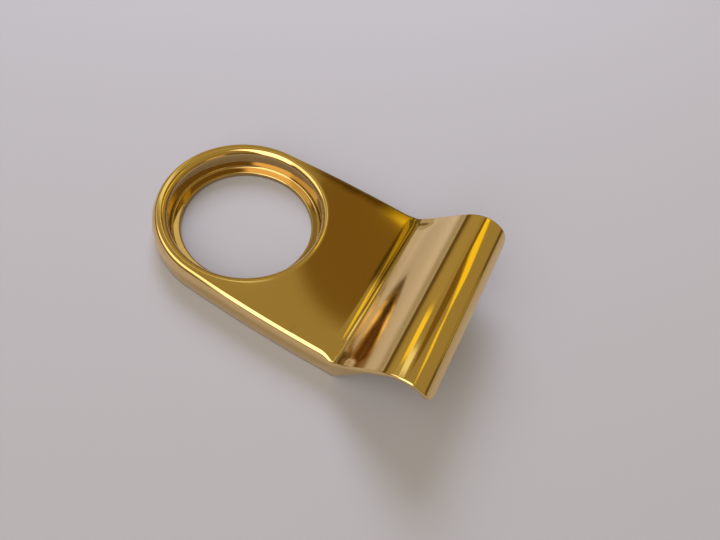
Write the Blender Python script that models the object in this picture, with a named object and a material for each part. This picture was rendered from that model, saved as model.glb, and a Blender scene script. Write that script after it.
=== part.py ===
"""Cylinder pull: a one-piece brass finger pull that is clamped to a door by a rim lock cylinder.

Frame: the hole's centre on the door face is the origin, +X runs to the finger lip, +Z points out of the
door, and the pull is symmetric about the XZ plane. All driving dimensions are in millimetres.

The pull is pressed from one sheet. Its top surface is laid out flat and then bent: a point has a place s
along the pull, a place y across it, and a depth below the top surface. bend() carries it into the real shape.
The side walls reach down to the door along the plate, and run out into the sheet's own edge on the lip.
"""
import math

import bmesh
import bpy

MM = 0.001
SHEET_T = 1.2

# Plan of the ring and plate
HOLE_R = 16.25
RING_R = 22.4
SIDE_R = 407.0          # the long sides are very flat arcs, tangent to the ring
SIDE_MID_X = 26.0       # where the plate is widest
PLATE_H = 7.05

# Section of the stepped seat around the hole, and of the collar below it
HOLE_EDGE_R = 0.4
SEAT_Z = 1.2
SEAT_FILLET = 0.7
RECESS_R = 18.5
RECESS_LIP_R = 1.5
COLLAR_R = 19.5
COLLAR_DRAFT = 0.4

# Middle line of the top surface beyond the plate: seven arcs, each with its radius and the slope it ends at
SHOULDER_X = 35.0
SHOULDER_R = 6.0
SHOULDER_SLOPE = math.radians(-16)
HOLLOW_R = 1.5
FOOT_SLOPE = math.radians(43.9)
ROOT_R = 330.0
ROOT_SLOPE = math.radians(44.3)
RISE_R = 45.0
RISE_SLOPE = math.radians(48.4)
UPPER_R = 172.0
UPPER_SLOPE = math.radians(45.9)
CURL_R = 9.0
CURL_SLOPE = math.radians(25)
CREST_R = 6.5
TIP_SLOPE = math.radians(-77.3)
ARCS = (
    (SHOULDER_R, SHOULDER_SLOPE),
    (HOLLOW_R, FOOT_SLOPE),
    (ROOT_R, ROOT_SLOPE),
    (RISE_R, RISE_SLOPE),
    (UPPER_R, UPPER_SLOPE),
    (CURL_R, CURL_SLOPE),
    (CREST_R, TIP_SLOPE),
)

# The crease between plate and lip curves back towards the ring near the two sides
CREASE_BACK = 1.2
CREASE_SPAN = 4.5
CREASE_STRAIGHT = 2.0   # the crease runs straight across this last stretch
CREASE_FADE_END = 46.0

# The lip's tip
TIP_CORNER_R = 3.2
TIP_BOW = 0.75          # the front edge is this much longer in the middle

# Edges and walls: the top's outer edge is a quarter of an ellipse, tall on the plate and small on the lip
RING_EDGE_W = 1.8
SIDE_EDGE_W = 1.7
PLATE_EDGE_H = 4.2
LIP_EDGE_R = 0.45
RIM_EDGE_R = 0.2
RIM_W = 1.0             # thickness of the walls at the door
WALL_DRAFT = 0.8        # the walls grow this much thicker towards the top
WALL_END_X = 38.5       # the walls leave the door here and slant up into the lip
WALL_SLOPE = math.radians(63)
WALL_MERGE = 0.7

# How finely the surface is divided
RING_STEPS = 20
SIDE_STEPS = 6
ARC_STEPS = (3, 6, 2, 4, 4, 4, 10)
CORNER_STEPS = 5
EDGE_STEPS = 3
WALL_STEPS = 4
JOIN_X = 26.0           # the rays around the hole end here and the rows across the lip begin

SIDE_DROP = math.sqrt((SIDE_R - RING_R) ** 2 - SIDE_MID_X ** 2)


def clear_scene():
    for thing in list(bpy.data.objects):
        bpy.data.objects.remove(thing, do_unlink=True)


def smooth_step(value, low, high):
    k = min(max((value - low) / (high - low), 0.0), 1.0)
    return k * k * (3 - 2 * k)


def side_width(x):
    """Half the plate's width at x; the lip keeps the width that the plate has at its end."""
    x = min(x, SHOULDER_X)
    return math.sqrt(SIDE_R ** 2 - (x - SIDE_MID_X) ** 2) - SIDE_DROP


LIP_W = side_width(SHOULDER_X)


def arc_ends():
    """Places s at which the arcs of the middle line end."""
    place = SHOULDER_X
    slope = 0.0
    ends = []
    for radius, end_slope in ARCS:
        place += radius * abs(end_slope - slope)
        slope = end_slope
        ends.append(place)
    return ends


SHOULDER_END, FOOT_END, ROOT_END, RISE_END, UPPER_END, CURL_END, TIP_S = arc_ends()
VALLEY_S = SHOULDER_END - HOLLOW_R * SHOULDER_SLOPE


def middle_line(place):
    """Where the top surface's middle line is at a place along it: x, z and slope."""
    if place <= SHOULDER_X:
        return place, PLATE_H, 0.0
    x = SHOULDER_X
    z = PLATE_H
    slope = 0.0
    left = place - SHOULDER_X
    for radius, end_slope in ARCS:
        turn = math.copysign(1.0, end_slope - slope)
        run = min(left, radius * abs(end_slope - slope))
        new_slope = slope + turn * run / radius
        x += turn * radius * (math.sin(new_slope) - math.sin(slope))
        z += turn * radius * (math.cos(slope) - math.cos(new_slope))
        slope = new_slope
        left -= run
    return x, z, slope


def crease_shift(s, y):
    """How far the crease lies back at this place across the pull."""
    inside = min(abs(y), LIP_W - CREASE_STRAIGHT) - (LIP_W - CREASE_SPAN)
    back = CREASE_BACK * (max(inside, 0.0) / CREASE_SPAN) ** 2
    return back * (1 - smooth_step(s, VALLEY_S, CREASE_FADE_END))


def surface(s, y):
    """The real pull's top surface: x, z and the tilt of the sheet's depth."""
    s -= TIP_BOW * smooth_step(s, UPPER_END, TIP_S) * (y / LIP_W) ** 2
    x = middle_line(s)[0]
    place = s + crease_shift(s, y)
    z, slope = middle_line(place)[1:]
    return x, z, slope if place > VALLEY_S else 0.0


def bend(s, y, depth):
    """The point at a depth below the top surface, in metres."""
    x, z, tilt = surface(s, y)
    return ((x + depth * math.sin(tilt)) * MM, y * MM, (z - depth * math.cos(tilt)) * MM)


def rim_depth(s, y):
    """Depth of the lower edge: at the door along the plate, then slanting up to the sheet's thickness."""
    if s > UPPER_END:
        return SHEET_T
    x, z, tilt = surface(s, y)
    to_door = z / math.cos(tilt)
    across = (WALL_END_X - x) * math.sin(WALL_SLOPE) + z * math.cos(WALL_SLOPE)
    to_slant = across / math.cos(WALL_SLOPE - tilt)
    wall = min(to_door, to_slant)
    near = max(WALL_MERGE - abs(wall - SHEET_T), 0.0)
    return max(wall, SHEET_T) + near ** 2 / (4 * WALL_MERGE)


def quarter(steps):
    """Sine and cosine of even angles from 0 to 90 degrees."""
    angles = [math.radians(90) * i / steps for i in range(steps + 1)]
    return [(math.sin(a), math.cos(a)) for a in angles]


def seat_section():
    """(radius, height) of the top surface from the hole's edge, over the seat, to the plate's top."""
    points = []
    for sine, cosine in quarter(EDGE_STEPS):
        points.append((HOLE_R + HOLE_EDGE_R * (1 - cosine), SEAT_Z - HOLE_EDGE_R * (1 - sine)))
    for sine, cosine in quarter(EDGE_STEPS):
        points.append((RECESS_R - SEAT_FILLET * (1 - sine), SEAT_Z + SEAT_FILLET * (1 - cosine)))
    for sine, cosine in quarter(EDGE_STEPS):
        points.append((RECESS_R + RECESS_LIP_R * (1 - cosine), PLATE_H - RECESS_LIP_R * (1 - sine)))
    return points


def collar_section():
    """(radius, height) of the back from the hole's edge, under the seat, up to the back of the sheet."""
    points = [(HOLE_R, 0.0)]
    for sine, cosine in quarter(WALL_STEPS):
        points.append((COLLAR_R + COLLAR_DRAFT * (1 - cosine), (PLATE_H - SHEET_T) * sine))
    return points


def even_places(start, end, steps):
    """Places after start, up to and including end."""
    return [start + (end - start) * i / steps for i in range(1, steps + 1)]


def row_places():
    """Places s of the rows and side stations, from the ring's tangent point to the tip's corner."""
    tangent_x = -RING_R * SIDE_MID_X / (SIDE_R - RING_R)
    crease_start = SHOULDER_X - CREASE_BACK
    places = even_places(tangent_x, JOIN_X, SIDE_STEPS)
    places += even_places(JOIN_X, crease_start, 2)
    places += even_places(crease_start, SHOULDER_X, 3)
    starts = [SHOULDER_X, SHOULDER_END, FOOT_END, ROOT_END, RISE_END, UPPER_END, CURL_END]
    ends = starts[1:] + [TIP_S - TIP_CORNER_R]
    for start, end, steps in zip(starts, ends, ARC_STEPS):
        places += even_places(start, end, steps)
    return places


def outline():
    """Half the flat form's outline, back of the ring to tip corner: (s, y, normal s, normal y)."""
    stations = []
    start = math.pi
    end = math.atan2(SIDE_DROP, -SIDE_MID_X)
    for i in range(RING_STEPS + 1):
        a = start + (end - start) * i / RING_STEPS
        stations.append((RING_R * math.cos(a), RING_R * math.sin(a), math.cos(a), math.sin(a)))
    for s in row_places():
        if s < SHOULDER_X:
            lean = (s - SIDE_MID_X) / SIDE_R
            stations.append((s, side_width(s), lean, math.sqrt(1 - lean ** 2)))
        else:
            stations.append((s, LIP_W, 0.0, 1.0))
    for sine, cosine in quarter(CORNER_STEPS)[1:]:
        s = TIP_S - TIP_CORNER_R * (1 - sine)
        y = LIP_W - TIP_CORNER_R * (1 - cosine)
        stations.append((s, y, sine, cosine))
    return stations


def edge_size(s):
    """Width and height of the top's rounded outer edge."""
    wide = RING_EDGE_W + (SIDE_EDGE_W - RING_EDGE_W) * smooth_step(s, 0.0, 15.0)
    blend = smooth_step(s, SHOULDER_X - 1.5, FOOT_END + 0.5)
    return wide + (LIP_EDGE_R - wide) * blend, PLATE_EDGE_H + (LIP_EDGE_R - PLATE_EDGE_H) * blend


def top_inset(s):
    """How far inside the outline the top surface ends."""
    return edge_size(s)[0]


def back_inset(s):
    """How far inside the outline the back of the sheet ends."""
    return RIM_W + WALL_DRAFT


def inset(station, distance):
    s, y, normal_s, normal_y = station
    return s - normal_s * distance, y - normal_y * distance


def edge_section(station):
    """Points over the outer edge, down the wall, under its rim and up inside to the back of the sheet."""
    wide, high = edge_size(station[0])
    rim = rim_depth(station[0], station[1])
    points = []
    for sine, cosine in quarter(EDGE_STEPS):
        points.append((wide * (1 - sine), high * (1 - cosine)))
    for sine, cosine in quarter(2):
        points.append((RIM_EDGE_R * (1 - cosine), rim - RIM_EDGE_R * (1 - sine)))
    for sine, cosine in quarter(WALL_STEPS):
        points.append((RIM_W + WALL_DRAFT * (1 - cosine), SHEET_T + (rim - SHEET_T) * (1 - sine)))
    return [bend(*inset(station, distance), depth) for distance, depth in points]


def column_shares():
    """Shares of the half width at which the columns stand, closer together near the sides."""
    half = [0.0, 0.22, 0.44, 0.64, 0.8, 0.88, 0.94, 1.0]
    return [-share for share in reversed(half[1:])] + half


def add_grid(shape, rows):
    """Quads between neighbouring rows of points."""
    corners = [[shape.verts.new(point) for point in row] for row in rows]
    for i in range(len(corners) - 1):
        for j in range(len(corners[0]) - 1):
            shape.faces.new((corners[i][j], corners[i][j + 1], corners[i + 1][j + 1], corners[i + 1][j]))


def mirrored(point):
    return (point[0], -point[1], point[2])


def add_grid_both_sides(shape, rows):
    add_grid(shape, rows)
    add_grid(shape, [[mirrored(point) for point in row] for row in rows])


def lip_grid(shape, stations, inset_of, depth):
    """Top or back of the plate's end and the lip: straight rows across, from JOIN_X to the tip."""
    rows = []
    for station in stations:
        if station[0] > JOIN_X - 1e-6:
            s, half = inset(station, inset_of(station[0]))
            rows.append([bend(s, half * share, depth) for share in column_shares()])
    add_grid(shape, rows)


def ray_ends(stations, inset_of):
    """Where the rays around the hole aim and end: on the outline, then along the first lip row."""
    ends = []
    for station in stations:
        if station[0] < JOIN_X + 1e-6:
            ends.append((station[:2], inset(station, inset_of(station[0]))))
    last, last_inset = ends[-1]
    for share in reversed(column_shares()):
        if 0 <= share < 1:
            ends.append(((last[0], last[1] * share), (last_inset[0], last_inset[1] * share)))
    return ends


def ring_grid(shape, stations, inset_of, depth, section):
    """Top or back around the hole: rays from the hole to the outline, or to the first lip row."""
    rays = []
    for aim, end in ray_ends(stations, inset_of):
        length = math.hypot(*aim)
        direction = (aim[0] / length, aim[1] / length)
        ray = [(r * direction[0] * MM, r * direction[1] * MM, z * MM) for r, z in section]
        r = section[-1][0]
        first = (r * direction[0], r * direction[1])
        for share in (0.5, 1.0):
            s = first[0] + (end[0] - first[0]) * share
            y = first[1] + (end[1] - first[1]) * share
            ray.append(bend(s, y, depth))
        rays.append(ray)
    add_grid_both_sides(shape, rays)


def hole_grid(shape, stations):
    """The hole's short upright wall."""
    rows = []
    for aim, end in ray_ends(stations, back_inset):
        length = math.hypot(*aim)
        x = HOLE_R * aim[0] / length * MM
        y = HOLE_R * aim[1] / length * MM
        rows.append([(x, y, 0.0), (x, y, seat_section()[0][1] * MM)])
    add_grid_both_sides(shape, rows)


def edge_grid(shape, stations):
    """The outer edge all round, and across the lip's front."""
    add_grid_both_sides(shape, [edge_section(station) for station in stations])
    corner = stations[-1]
    add_grid(shape, [edge_section((corner[0], corner[1] * share, 1.0, 0.0)) for share in column_shares()])


def brass():
    material = bpy.data.materials.new("polished_brass")
    material.use_nodes = True
    shader = material.node_tree.nodes["Principled BSDF"]
    shader.inputs["Base Color"].default_value = (0.88, 0.62, 0.22, 1.0)
    shader.inputs["Metallic"].default_value = 1.0
    shader.inputs["Roughness"].default_value = 0.08
    return material


def cylinder_pull():
    """The whole pull: ring with its stepped seat, plate, crease and curled lip, in one piece."""
    stations = outline()
    shape = bmesh.new()
    ring_grid(shape, stations, top_inset, 0.0, seat_section())
    lip_grid(shape, stations, top_inset, 0.0)
    ring_grid(shape, stations, back_inset, SHEET_T, collar_section())
    lip_grid(shape, stations, back_inset, SHEET_T)
    edge_grid(shape, stations)
    hole_grid(shape, stations)
    bmesh.ops.remove_doubles(shape, verts=shape.verts, dist=1e-7)
    bmesh.ops.recalc_face_normals(shape, faces=shape.faces)
    mesh = bpy.data.meshes.new("cylinder_pull")
    shape.to_mesh(mesh)
    shape.free()
    pull = bpy.data.objects.new("cylinder_pull", mesh)
    bpy.context.scene.collection.objects.link(pull)
    mesh.materials.append(brass())
    mesh.shade_smooth()
    mesh.set_sharp_from_angle(angle=math.radians(35))
    return pull


def main():
    clear_scene()
    cylinder_pull()


main()
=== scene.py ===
import math

import bmesh
import bpy
from mathutils import Matrix, Vector

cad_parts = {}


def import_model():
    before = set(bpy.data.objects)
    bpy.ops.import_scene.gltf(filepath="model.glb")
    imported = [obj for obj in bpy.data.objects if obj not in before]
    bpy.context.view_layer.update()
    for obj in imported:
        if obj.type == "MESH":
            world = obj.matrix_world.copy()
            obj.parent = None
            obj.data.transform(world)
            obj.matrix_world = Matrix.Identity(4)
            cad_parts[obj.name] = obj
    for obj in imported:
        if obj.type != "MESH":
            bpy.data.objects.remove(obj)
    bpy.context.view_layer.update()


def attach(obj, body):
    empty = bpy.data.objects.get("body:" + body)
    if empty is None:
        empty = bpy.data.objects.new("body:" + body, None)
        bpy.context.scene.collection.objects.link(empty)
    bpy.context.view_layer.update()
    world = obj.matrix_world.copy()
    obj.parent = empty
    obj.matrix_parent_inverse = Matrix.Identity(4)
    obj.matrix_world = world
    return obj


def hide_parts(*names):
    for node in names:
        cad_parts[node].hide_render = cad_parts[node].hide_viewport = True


# Looks of the polished brass cylinder pull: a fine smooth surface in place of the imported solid, its brass,
# and the floor, room and light around it. The surface is laid out in millimetres by the same rules as the
# solid, only in finer steps: a point has a place s along the pull, a place y across it, and a depth below
# the top surface, and bend() carries it into the real shape.

MM = 0.001
SHEET_T = 1.2

# Plan of the ring and plate
HOLE_R = 16.25
RING_R = 22.4
SIDE_R = 407.0          # the long sides are very flat arcs, tangent to the ring
SIDE_MID_X = 26.0       # where the plate is widest
PLATE_H = 7.05

# Section of the stepped seat around the hole, and of the collar below it
HOLE_EDGE_R = 0.4
SEAT_Z = 1.2
SEAT_FILLET = 0.7
RECESS_R = 18.5
RECESS_LIP_R = 1.5
COLLAR_R = 19.5
COLLAR_DRAFT = 0.4

# Middle line of the top surface beyond the plate: seven arcs, each with its radius and the slope it ends at
SHOULDER_X = 35.0
SHOULDER_R = 6.0
SHOULDER_SLOPE = math.radians(-16)
HOLLOW_R = 1.5
FOOT_SLOPE = math.radians(43.9)
ROOT_R = 330.0
ROOT_SLOPE = math.radians(44.3)
RISE_R = 45.0
RISE_SLOPE = math.radians(48.4)
UPPER_R = 172.0
UPPER_SLOPE = math.radians(45.9)
CURL_R = 9.0
CURL_SLOPE = math.radians(25)
CREST_R = 6.5
TIP_SLOPE = math.radians(-77.3)
ARCS = (
    (SHOULDER_R, SHOULDER_SLOPE),
    (HOLLOW_R, FOOT_SLOPE),
    (ROOT_R, ROOT_SLOPE),
    (RISE_R, RISE_SLOPE),
    (UPPER_R, UPPER_SLOPE),
    (CURL_R, CURL_SLOPE),
    (CREST_R, TIP_SLOPE),
)

# The crease between plate and lip curves back towards the ring near the two sides
CREASE_BACK = 1.2
CREASE_SPAN = 4.5
CREASE_STRAIGHT = 2.0   # the crease runs straight across this last stretch
CREASE_FADE_END = 46.0

# The lip's tip
TIP_CORNER_R = 3.2
TIP_BOW = 0.75          # the front edge is this much longer in the middle

# Edges and walls: the top's outer edge is a quarter of an ellipse, tall on the plate and small on the lip
RING_EDGE_W = 1.8
SIDE_EDGE_W = 1.7
PLATE_EDGE_H = 4.2
LIP_EDGE_R = 0.45
RIM_EDGE_R = 0.2
RIM_W = 1.0             # thickness of the walls at the door
WALL_DRAFT = 0.8        # the walls grow this much thicker towards the top
WALL_END_X = 38.5       # the walls leave the door here and slant up into the lip
WALL_SLOPE = math.radians(63)
WALL_MERGE = 0.7

# How finely the surface is divided
RING_STEPS = 110
SIDE_STEPS = 30
ARC_STEPS = (12, 26, 8, 14, 18, 16, 48)
CORNER_STEPS = 14
EDGE_STEPS = 12
WALL_STEPS = 8
COLUMN_STEPS = 34
RAY_STEPS = 14
JOIN_X = 26.0           # the rays around the hole end here and the rows across the lip begin

SIDE_DROP = math.sqrt((SIDE_R - RING_R) ** 2 - SIDE_MID_X ** 2)

SHARP_ANGLE = 50.0      # edges that turn by more than this many degrees stay crisp

# Soft roll that polishing leaves along the plate's sides
ROLL_DEPTH = 0.22
ROLL_SPAN = 5.0
ROLL_START = (4.0, 18.0)        # it grows between these two places along the pull
ROLL_FADE = 4.0                 # and fades over this length beyond the crease
FAR_ROLL_SHARE = 0.1

# Brass
BRASS_COLOUR = (0.815, 0.585, 0.25, 1.0)
WIPED_COLOUR = (0.785, 0.56, 0.258, 1.0)
LINES_SCALE = (160.0, 5200.0, 900.0)
PATCHES_SCALE = 130.0
GRAIN_SCALE = 2600.0
ROUGH_LEAST = 0.04
ROUGH_PATCHES = 0.05
ROUGH_LINES = 0.03
LINES_BUMP = 0.05
GRAIN_BUMP = 0.04
BUMP_DISTANCE = 0.00002

# Painted shade: a darker brass colour in the crease's far half, along the plate's far edge and in the
# recess, painted in place of shade and darker reflections there.
# Each pair says where it is absent and where it is full, in metres along X, along Y or from the hole's
# centre.
PAINTED_SHADE_COLOUR = (0.23, 0.14, 0.055, 1.0)
PAINTED_SHADE_SHARE = 0.85
PAINTED_SHADE_RAGGED = 0.003
CREASE_SHADE_START = (0.0343, 0.0352)
CREASE_SHADE_END = (0.0380, 0.0374)
CREASE_SHADE_SIDE = (-0.003, 0.003)
EDGE_SHADE_START = (0.0, 0.012)
EDGE_SHADE_SIDE = (0.0185, 0.0215)
RECESS_SHADE = (0.0193, 0.0184)
RECESS_SHADE_SHARE = 0.55

# Camera: angles in degrees, target and distance in millimetres
CAMERA_AZIMUTH = 12.008
CAMERA_ELEVATION = 58.896
CAMERA_ROLL = 18.781
CAMERA_TARGET = (30.639, 4.66, 0.0)
CAMERA_DISTANCE = 127.207
CAMERA_LENS = 25.0

# What the room shows to the metal. Each patch has a name, the azimuth and elevation of its middle, its turn,
# half width and half height in degrees, its softness, its colour, and whether it has corners.
ROOM_LIGHT = (0.385, 0.305, 0.11)
ROOM_LOW = (0.13, 0.085, 0.028)
ROOM_TABLE = (0.48, 0.44, 0.36)
TABLE_TO_LOW = (0.04, 0.08)     # heights between which one colour of the room turns into the next
LOW_TO_LIGHT = (0.16, 0.32)
ROOM_PATCHES = (
    ("far wall", 139, 33, 0, 25, 12, 0.5, (0.43, 0.34, 0.125), False),
    ("dark wall", 100, 54.5, 0, 9.5, 11, 0.2, (0.205, 0.122, 0.021), False),
    ("back glow", 170, 40, 0, 14, 11, 0.5, (0.58, 0.56, 0.36), False),
    ("window glow", -146, 48, 0, 26, 20, 0.3, (1.7, 1.6, 1.1), False),
    ("window", -94, 47, 0, 21, 36, 0.2, (2.7, 2.5, 2.0), True),
    ("lamp strip", 80, 51.2, -9, 12.5, 3.6, 0.12, (1.20, 0.90, 0.04), True),
    ("crease lamp", 54, 55.8, 0, 5, 2.6, 0.2, (1.1, 0.85, 0.06), True),
    ("low strip", 31.5, 9.5, 0, 5, 3.0, 0.3, (0.42, 0.32, 0.06), True),
    ("side lamp", 143.5, 39.5, 116, 7, 3.2, 0.15, (1.2, 0.92, 0.08), True),
    ("side glow", 137, 53, 127, 9, 1.7, 0.25, (1.1, 1.05, 0.65), True),
)
BACKDROP_COLOUR = (0.60, 0.60, 0.61, 1.0)

# Floor and side light, in metres and watts
FLOOR_COLOUR = (0.36, 0.362, 0.475, 1.0)
FLOOR_HALF = 3.0
FLOOR_PLACE = (0.02, 0, -0.0001)
LAMP_PLACE = (-0.30, 0.40, 0.42)
LAMP_TARGET = (0.05, 0, 0)
LAMP_SIZE = (0.3, 0.3)
LAMP_POWER = 3.6
LAMP_COLOUR = (0.97, 0.97, 1.0)


def smooth_step(value, low, high):
    k = min(max((value - low) / (high - low), 0.0), 1.0)
    return k * k * (3 - 2 * k)


def side_width(x):
    """Half the plate's width at x; the lip keeps the width that the plate has at its end."""
    x = min(x, SHOULDER_X)
    return math.sqrt(SIDE_R ** 2 - (x - SIDE_MID_X) ** 2) - SIDE_DROP


LIP_W = side_width(SHOULDER_X)


def arc_ends():
    """Places s at which the arcs of the middle line end."""
    place = SHOULDER_X
    slope = 0.0
    ends = []
    for radius, end_slope in ARCS:
        place += radius * abs(end_slope - slope)
        slope = end_slope
        ends.append(place)
    return ends


SHOULDER_END, FOOT_END, ROOT_END, RISE_END, UPPER_END, CURL_END, TIP_S = arc_ends()
VALLEY_S = SHOULDER_END - HOLLOW_R * SHOULDER_SLOPE


def middle_line(place):
    """Where the top surface's middle line is at a place along it: x, z and slope."""
    if place <= SHOULDER_X:
        return place, PLATE_H, 0.0
    x = SHOULDER_X
    z = PLATE_H
    slope = 0.0
    left = place - SHOULDER_X
    for radius, end_slope in ARCS:
        turn = math.copysign(1.0, end_slope - slope)
        run = min(left, radius * abs(end_slope - slope))
        new_slope = slope + turn * run / radius
        x += turn * radius * (math.sin(new_slope) - math.sin(slope))
        z += turn * radius * (math.cos(slope) - math.cos(new_slope))
        slope = new_slope
        left -= run
    return x, z, slope


def crease_shift(s, y):
    """How far the crease lies back at this place across the pull."""
    inside = min(abs(y), LIP_W - CREASE_STRAIGHT) - (LIP_W - CREASE_SPAN)
    back = CREASE_BACK * (max(inside, 0.0) / CREASE_SPAN) ** 2
    return back * (1 - smooth_step(s, VALLEY_S, CREASE_FADE_END))


def soft_roll(s, y):
    """How far the polished plate falls away near its long sides."""
    inside = min(abs(y), LIP_W - SIDE_EDGE_W) - (side_width(s) - SIDE_EDGE_W - ROLL_SPAN)
    share = smooth_step(s, *ROLL_START) * (1 - smooth_step(s, VALLEY_S, VALLEY_S + ROLL_FADE))
    if y > 0:
        share *= FAR_ROLL_SHARE
    return ROLL_DEPTH * share * (max(inside, 0.0) / ROLL_SPAN) ** 2


def surface(s, y):
    """The real pull's top surface: x, z and the tilt of the sheet's depth."""
    s -= TIP_BOW * smooth_step(s, UPPER_END, TIP_S) * (y / LIP_W) ** 2
    x = middle_line(s)[0]
    place = s + crease_shift(s, y)
    z, slope = middle_line(place)[1:]
    z -= soft_roll(s, y)
    return x, z, slope if place > VALLEY_S else 0.0


def bend(s, y, depth):
    """The point at a depth below the top surface, in metres."""
    x, z, tilt = surface(s, y)
    return ((x + depth * math.sin(tilt)) * MM, y * MM, (z - depth * math.cos(tilt)) * MM)


def rim_depth(s, y):
    """Depth of the lower edge: at the door along the plate, then slanting up to the sheet's thickness."""
    if s > UPPER_END:
        return SHEET_T
    x, z, tilt = surface(s, y)
    to_door = z / math.cos(tilt)
    across = (WALL_END_X - x) * math.sin(WALL_SLOPE) + z * math.cos(WALL_SLOPE)
    to_slant = across / math.cos(WALL_SLOPE - tilt)
    wall = min(to_door, to_slant)
    near = max(WALL_MERGE - abs(wall - SHEET_T), 0.0)
    return max(wall, SHEET_T) + near ** 2 / (4 * WALL_MERGE)


def quarter(steps):
    """Sine and cosine of even angles from 0 to 90 degrees."""
    angles = [math.radians(90) * i / steps for i in range(steps + 1)]
    return [(math.sin(a), math.cos(a)) for a in angles]


def seat_section():
    """(radius, height) of the top surface from the hole's edge, over the seat, to the plate's top."""
    points = []
    for sine, cosine in quarter(EDGE_STEPS):
        points.append((HOLE_R + HOLE_EDGE_R * (1 - cosine), SEAT_Z - HOLE_EDGE_R * (1 - sine)))
    for sine, cosine in quarter(EDGE_STEPS):
        points.append((RECESS_R - SEAT_FILLET * (1 - sine), SEAT_Z + SEAT_FILLET * (1 - cosine)))
    for sine, cosine in quarter(EDGE_STEPS):
        points.append((RECESS_R + RECESS_LIP_R * (1 - cosine), PLATE_H - RECESS_LIP_R * (1 - sine)))
    return points


def collar_section():
    """(radius, height) of the back from the hole's edge, under the seat, up to the back of the sheet."""
    points = [(HOLE_R, 0.0)]
    for sine, cosine in quarter(WALL_STEPS):
        points.append((COLLAR_R + COLLAR_DRAFT * (1 - cosine), (PLATE_H - SHEET_T) * sine))
    return points


def even_places(start, end, steps):
    """Places after start, up to and including end."""
    return [start + (end - start) * i / steps for i in range(1, steps + 1)]


def row_places():
    """Places s of the rows and side stations, from the ring's tangent point to the tip's corner."""
    tangent_x = -RING_R * SIDE_MID_X / (SIDE_R - RING_R)
    crease_start = SHOULDER_X - CREASE_BACK
    places = even_places(tangent_x, JOIN_X, SIDE_STEPS)
    places += even_places(JOIN_X, crease_start, 14)
    places += even_places(crease_start, SHOULDER_X, 8)
    starts = [SHOULDER_X, SHOULDER_END, FOOT_END, ROOT_END, RISE_END, UPPER_END, CURL_END]
    ends = starts[1:] + [TIP_S - TIP_CORNER_R]
    for start, end, steps in zip(starts, ends, ARC_STEPS):
        places += even_places(start, end, steps)
    return places


def outline():
    """Half the flat form's outline, back of the ring to tip corner: (s, y, normal s, normal y)."""
    stations = []
    start = math.pi
    end = math.atan2(SIDE_DROP, -SIDE_MID_X)
    for i in range(RING_STEPS + 1):
        a = start + (end - start) * i / RING_STEPS
        stations.append((RING_R * math.cos(a), RING_R * math.sin(a), math.cos(a), math.sin(a)))
    for s in row_places():
        if s < SHOULDER_X:
            lean = (s - SIDE_MID_X) / SIDE_R
            stations.append((s, side_width(s), lean, math.sqrt(1 - lean ** 2)))
        else:
            stations.append((s, LIP_W, 0.0, 1.0))
    for sine, cosine in quarter(CORNER_STEPS)[1:]:
        s = TIP_S - TIP_CORNER_R * (1 - sine)
        y = LIP_W - TIP_CORNER_R * (1 - cosine)
        stations.append((s, y, sine, cosine))
    return stations


def edge_size(s):
    """Width and height of the top's rounded outer edge."""
    wide = RING_EDGE_W + (SIDE_EDGE_W - RING_EDGE_W) * smooth_step(s, 0.0, 15.0)
    blend = smooth_step(s, SHOULDER_X - 1.5, FOOT_END + 0.5)
    return wide + (LIP_EDGE_R - wide) * blend, PLATE_EDGE_H + (LIP_EDGE_R - PLATE_EDGE_H) * blend


def top_inset(s):
    """How far inside the outline the top surface ends."""
    return edge_size(s)[0]


def back_inset(s):
    """How far inside the outline the back of the sheet ends."""
    return RIM_W + WALL_DRAFT


def inset(station, distance):
    s, y, normal_s, normal_y = station
    return s - normal_s * distance, y - normal_y * distance


def edge_section(station):
    """Points over the outer edge, down the wall, under its rim and up inside to the back of the sheet."""
    wide, high = edge_size(station[0])
    rim = rim_depth(station[0], station[1])
    points = []
    for sine, cosine in quarter(EDGE_STEPS):
        points.append((wide * (1 - sine), high * (1 - cosine)))
    for sine, cosine in quarter(2):
        points.append((RIM_EDGE_R * (1 - cosine), rim - RIM_EDGE_R * (1 - sine)))
    for sine, cosine in quarter(WALL_STEPS):
        points.append((RIM_W + WALL_DRAFT * (1 - cosine), SHEET_T + (rim - SHEET_T) * (1 - sine)))
    return [bend(*inset(station, distance), depth) for distance, depth in points]


def column_shares():
    """Shares of the half width at which the columns stand, closer together near the sides."""
    half = [math.sin(math.radians(90) * i / COLUMN_STEPS) for i in range(COLUMN_STEPS + 1)]
    return [-share for share in reversed(half[1:])] + half


def add_grid(shape, rows):
    """Quads between neighbouring rows of points."""
    corners = [[shape.verts.new(point) for point in row] for row in rows]
    for i in range(len(corners) - 1):
        for j in range(len(corners[0]) - 1):
            shape.faces.new((corners[i][j], corners[i][j + 1], corners[i + 1][j + 1], corners[i + 1][j]))


def mirrored(point):
    return (point[0], -point[1], point[2])


def add_grid_both_sides(shape, rows):
    add_grid(shape, rows)
    add_grid(shape, [[mirrored(point) for point in row] for row in rows])


def lip_grid(shape, stations, inset_of, depth):
    """Top or back of the plate's end and the lip: straight rows across, from JOIN_X to the tip."""
    rows = []
    for station in stations:
        if station[0] > JOIN_X - 1e-6:
            s, half = inset(station, inset_of(station[0]))
            rows.append([bend(s, half * share, depth) for share in column_shares()])
    add_grid(shape, rows)


def ray_ends(stations, inset_of):
    """Where the rays around the hole aim and end: on the outline, then along the first lip row."""
    ends = []
    for station in stations:
        if station[0] < JOIN_X + 1e-6:
            ends.append((station[:2], inset(station, inset_of(station[0]))))
    last, last_inset = ends[-1]
    for share in reversed(column_shares()):
        if 0 <= share < 1:
            ends.append(((last[0], last[1] * share), (last_inset[0], last_inset[1] * share)))
    return ends


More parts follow.
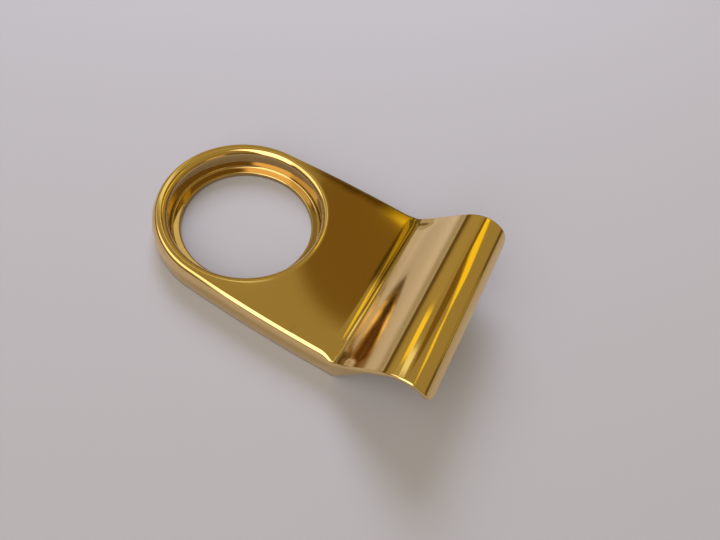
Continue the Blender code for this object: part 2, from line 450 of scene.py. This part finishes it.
def ring_grid(shape, stations, inset_of, depth, section):
    """Top or back around the hole: rays from the hole to the outline, or to the first lip row."""
    rays = []
    for aim, end in ray_ends(stations, inset_of):
        length = math.hypot(*aim)
        direction = (aim[0] / length, aim[1] / length)
        ray = [(r * direction[0] * MM, r * direction[1] * MM, z * MM) for r, z in section]
        r = section[-1][0]
        first = (r * direction[0], r * direction[1])
        for i in range(1, RAY_STEPS + 1):
            share = i / RAY_STEPS
            s = first[0] + (end[0] - first[0]) * share
            y = first[1] + (end[1] - first[1]) * share
            ray.append(bend(s, y, depth))
        rays.append(ray)
    add_grid_both_sides(shape, rays)


def hole_grid(shape, stations):
    """The hole's short upright wall."""
    rows = []
    for aim, end in ray_ends(stations, back_inset):
        length = math.hypot(*aim)
        x = HOLE_R * aim[0] / length * MM
        y = HOLE_R * aim[1] / length * MM
        rows.append([(x, y, 0.0), (x, y, seat_section()[0][1] * MM)])
    add_grid_both_sides(shape, rows)


def edge_grid(shape, stations):
    """The outer edge all round, and across the lip's front."""
    add_grid_both_sides(shape, [edge_section(station) for station in stations])
    corner = stations[-1]
    add_grid(shape, [edge_section((corner[0], corner[1] * share, 1.0, 0.0)) for share in column_shares()])


def fine_pull():
    """The pull's fine surface, made as its solid is made."""
    stations = outline()
    shape = bmesh.new()
    ring_grid(shape, stations, top_inset, 0.0, seat_section())
    lip_grid(shape, stations, top_inset, 0.0)
    ring_grid(shape, stations, back_inset, SHEET_T, collar_section())
    lip_grid(shape, stations, back_inset, SHEET_T)
    edge_grid(shape, stations)
    hole_grid(shape, stations)
    bmesh.ops.remove_doubles(shape, verts=shape.verts, dist=1e-8)
    bmesh.ops.recalc_face_normals(shape, faces=shape.faces)
    mesh = bpy.data.meshes.new("brass_pull")
    shape.to_mesh(mesh)
    shape.free()
    pull = bpy.data.objects.new("brass_pull", mesh)
    bpy.context.scene.collection.objects.link(pull)
    mesh.materials.append(brass())
    mesh.shade_smooth()
    mesh.set_sharp_from_angle(angle=math.radians(SHARP_ANGLE))
    return pull


def add_node(tree, kind, inputs=(), **settings):
    """A node with its settings, and its inputs linked to sockets or set to values."""
    node = tree.nodes.new(kind)
    for name, value in settings.items():
        setattr(node, name, value)
    for key, value in dict(inputs).items():
        if isinstance(value, bpy.types.NodeSocket):
            tree.links.new(value, node.inputs[key])
        else:
            node.inputs[key].default_value = value
    return node


def math_node(tree, operation, first, second=0.0):
    return add_node(tree, "ShaderNodeMath", {0: first, 1: second}, operation=operation).outputs[0]


def vector_node(tree, operation, first, second):
    return add_node(tree, "ShaderNodeVectorMath", {0: first, 1: second}, operation=operation)


def scaled_sum(tree, value, scale, plus):
    node = add_node(tree, "ShaderNodeMath", {0: value, 1: scale, 2: plus}, operation="MULTIPLY_ADD")
    return node.outputs[0]


def ramp(tree, value, start, end):
    """0 before start, 1 after end, with a soft step between."""
    node = add_node(tree, "ShaderNodeMapRange", {"Value": value, "From Min": start, "From Max": end},
                    interpolation_type="SMOOTHSTEP")
    return node.outputs["Result"]


def mix_colour(tree, share, first, second):
    """The first colour where share is 0, the second where it is 1."""
    node = add_node(tree, "ShaderNodeMix", {"Factor": share, 6: first, 7: second}, data_type="RGBA")
    return node.outputs[2]


def noise(tree, place, scale, detail):
    node = add_node(tree, "ShaderNodeTexNoise", {"Vector": place, "Scale": scale, "Detail": detail})
    return node.outputs["Fac"]


def painted_shade(tree, place, patches):
    """Share of painted shade, a darker colour standing in for shade and darker reflections: in the crease's
    far half, along the plate's far edge and in the recess.
    """
    where = add_node(tree, "ShaderNodeSeparateXYZ", {0: place}).outputs
    ragged = math_node(tree, "MULTIPLY", math_node(tree, "SUBTRACT", patches, 0.5), PAINTED_SHADE_RAGGED)
    across = math_node(tree, "ADD", where["Y"], ragged)
    before_lip = ramp(tree, where["X"], *CREASE_SHADE_END)
    crease = math_node(tree, "MULTIPLY", ramp(tree, where["X"], *CREASE_SHADE_START), before_lip)
    crease = math_node(tree, "MULTIPLY", crease, ramp(tree, across, *CREASE_SHADE_SIDE))
    edge = math_node(tree, "MULTIPLY", ramp(tree, across, *EDGE_SHADE_SIDE), before_lip)
    edge = math_node(tree, "MULTIPLY", edge, ramp(tree, where["X"], *EDGE_SHADE_START))
    flat_place = vector_node(tree, "MULTIPLY", place, (1.0, 1.0, 0.0)).outputs[0]
    radius = add_node(tree, "ShaderNodeVectorMath", {0: flat_place}, operation="LENGTH").outputs["Value"]
    recess = math_node(tree, "MULTIPLY", ramp(tree, radius, *RECESS_SHADE), RECESS_SHADE_SHARE)
    # painted shade: the largest of the crease, far edge and recess shares
    painted_dark = math_node(tree, "MAXIMUM", math_node(tree, "MAXIMUM", crease, edge), recess)
    return math_node(tree, "MULTIPLY", painted_dark, PAINTED_SHADE_SHARE)


def brass():
    """Polished brass: faint polishing lines, patches of wiped lacquer, fine grain, and painted shade in the
    crease's far half, along the far edge and in the recess.
    """
    material = bpy.data.materials.new("polished_brass")
    material.use_nodes = True
    tree = material.node_tree
    shader = tree.nodes["Principled BSDF"]
    shader.inputs["Metallic"].default_value = 1.0
    place = add_node(tree, "ShaderNodeTexCoord").outputs["Object"]
    lines_place = add_node(tree, "ShaderNodeMapping", {"Vector": place, "Scale": LINES_SCALE}).outputs[0]
    lines = noise(tree, lines_place, 1.0, 3.0)
    patches = noise(tree, place, PATCHES_SCALE, 3.0)
    grain = noise(tree, place, GRAIN_SCALE, 2.0)
    colour = mix_colour(tree, patches, BRASS_COLOUR, WIPED_COLOUR)
    # painted shade: a darker colour mixed in over the crease's far half, the plate's far edge and the recess
    colour = mix_colour(tree, painted_shade(tree, place, patches), colour, PAINTED_SHADE_COLOUR)
    tree.links.new(colour, shader.inputs["Base Color"])
    rough = scaled_sum(tree, patches, ROUGH_PATCHES, ROUGH_LEAST)
    rough = scaled_sum(tree, lines, ROUGH_LINES, rough)
    tree.links.new(rough, shader.inputs["Roughness"])
    bump = add_node(tree, "ShaderNodeBump", {"Strength": LINES_BUMP, "Distance": BUMP_DISTANCE,
                                             "Height": lines})
    fine = add_node(tree, "ShaderNodeBump", {"Strength": GRAIN_BUMP, "Distance": BUMP_DISTANCE,
                                             "Height": grain, "Normal": bump.outputs[0]})
    tree.links.new(fine.outputs[0], shader.inputs["Normal"])
    return material


def floor():
    size = FLOOR_HALF
    corners = [(-size, -size, 0), (size, -size, 0), (size, size, 0), (-size, size, 0)]
    mesh = bpy.data.meshes.new("floor")
    mesh.from_pydata(corners, [], [(0, 1, 2, 3)])
    thing = bpy.data.objects.new("floor", mesh)
    bpy.context.scene.collection.objects.link(thing)
    material = bpy.data.materials.new("floor")
    material.use_nodes = True
    shader = material.node_tree.nodes["Principled BSDF"]
    shader.inputs["Base Color"].default_value = FLOOR_COLOUR
    shader.inputs["Roughness"].default_value = 0.8
    shader.inputs["Specular IOR Level"].default_value = 0.2
    mesh.materials.append(material)
    thing.location = FLOOR_PLACE


def camera():
    azimuth = math.radians(CAMERA_AZIMUTH)
    elevation = math.radians(CAMERA_ELEVATION)
    roll = math.radians(CAMERA_ROLL)
    back = Vector((math.cos(elevation) * math.sin(azimuth), -math.cos(elevation) * math.cos(azimuth),
                   math.sin(elevation)))
    right = Vector((0, 0, 1)).cross(back).normalized()
    up = back.cross(right)
    turned_right = math.cos(roll) * right + math.sin(roll) * up
    turned_up = -math.sin(roll) * right + math.cos(roll) * up
    place = (Vector(CAMERA_TARGET) + back * CAMERA_DISTANCE) * MM
    data = bpy.data.cameras.new("camera")
    data.lens = CAMERA_LENS
    data.sensor_width = 36.0
    data.clip_start = 0.005
    data.clip_end = 50.0
    thing = bpy.data.objects.new("camera", data)
    turn = Matrix((turned_right, turned_up, back)).transposed().to_4x4()
    thing.matrix_world = Matrix.Translation(place) @ turn
    bpy.context.scene.collection.objects.link(thing)
    bpy.context.scene.camera = thing


def direction(azimuth, elevation):
    a = math.radians(azimuth)
    e = math.radians(elevation)
    return Vector((math.cos(a) * math.cos(e), math.sin(a) * math.cos(e), math.sin(e)))


def patch_axes(middle, turn):
    """The patch's own two directions, square to its middle and turned about it."""
    side = Vector((0, 0, 1)).cross(middle).normalized()
    top = middle.cross(side)
    turned = math.radians(turn)
    across = math.cos(turned) * side + math.sin(turned) * top
    along = math.cos(turned) * top - math.sin(turned) * side
    return across, along


def room_patch(tree, facing, under, patch):
    """A patch of colour over the room's colour, round or with corners, with a soft rim."""
    name, azimuth, elevation, turn, half_width, half_height, softness, colour, square = patch
    middle = direction(azimuth, elevation)
    ahead = vector_node(tree, "DOT_PRODUCT", facing, middle).outputs["Value"]
    offsets = []
    for axis, half in zip(patch_axes(middle, turn), (half_width, half_height)):
        scaled_axis = axis / math.tan(math.radians(half))
        across = vector_node(tree, "DOT_PRODUCT", facing, scaled_axis).outputs["Value"]
        offset = math_node(tree, "ABSOLUTE", math_node(tree, "DIVIDE", across, ahead))
        offsets.append(offset if square else math_node(tree, "POWER", offset, 2.0))
    reach = math_node(tree, "MAXIMUM" if square else "ADD", offsets[0], offsets[1])
    share = ramp(tree, reach, 1 + softness, 1 - softness)
    share = math_node(tree, "MULTIPLY", share, math_node(tree, "GREATER_THAN", ahead, 0.05))
    node = add_node(tree, "ShaderNodeMix", {"Factor": share, 6: under, 7: (*colour, 1.0)}, data_type="RGBA")
    node.label = name
    return node.outputs[2]


def world():
    """A warm room around the pull: table, low dim band, light wall, darker wall, window and lamps."""
    sky = bpy.data.worlds.new("studio")
    bpy.context.scene.world = sky
    sky.use_nodes = True
    tree = sky.node_tree
    facing = add_node(tree, "ShaderNodeTexCoord").outputs["Generated"]
    height = add_node(tree, "ShaderNodeSeparateXYZ", {0: facing}).outputs["Z"]
    colour = mix_colour(tree, ramp(tree, height, *TABLE_TO_LOW), (*ROOM_TABLE, 1.0), (*ROOM_LOW, 1.0))
    colour = mix_colour(tree, ramp(tree, height, *LOW_TO_LIGHT), colour, (*ROOM_LIGHT, 1.0))
    for patch in ROOM_PATCHES:
        colour = room_patch(tree, facing, colour, patch)
    seen = add_node(tree, "ShaderNodeLightPath").outputs["Is Camera Ray"]
    colour = mix_colour(tree, seen, colour, BACKDROP_COLOUR)
    tree.links.new(colour, tree.nodes["Background"].inputs["Color"])


def side_light():
    """A soft lamp that lights the floor and casts the pull's shadow; the brass doesn't show it."""
    data = bpy.data.lights.new("side light", "AREA")
    data.shape = "RECTANGLE"
    data.size, data.size_y = LAMP_SIZE
    data.energy = LAMP_POWER
    data.color = LAMP_COLOUR
    thing = bpy.data.objects.new("side light", data)
    place = Vector(LAMP_PLACE)
    thing.location = place
    thing.rotation_euler = (Vector(LAMP_TARGET) - place).to_track_quat("-Z", "Y").to_euler()
    thing.visible_glossy = False
    bpy.context.scene.collection.objects.link(thing)


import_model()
pull = fine_pull()
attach(pull, "root")
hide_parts("cylinder_pull")
floor()
camera()
world()
side_light()
bpy.context.scene.view_settings.view_transform = "Standard"
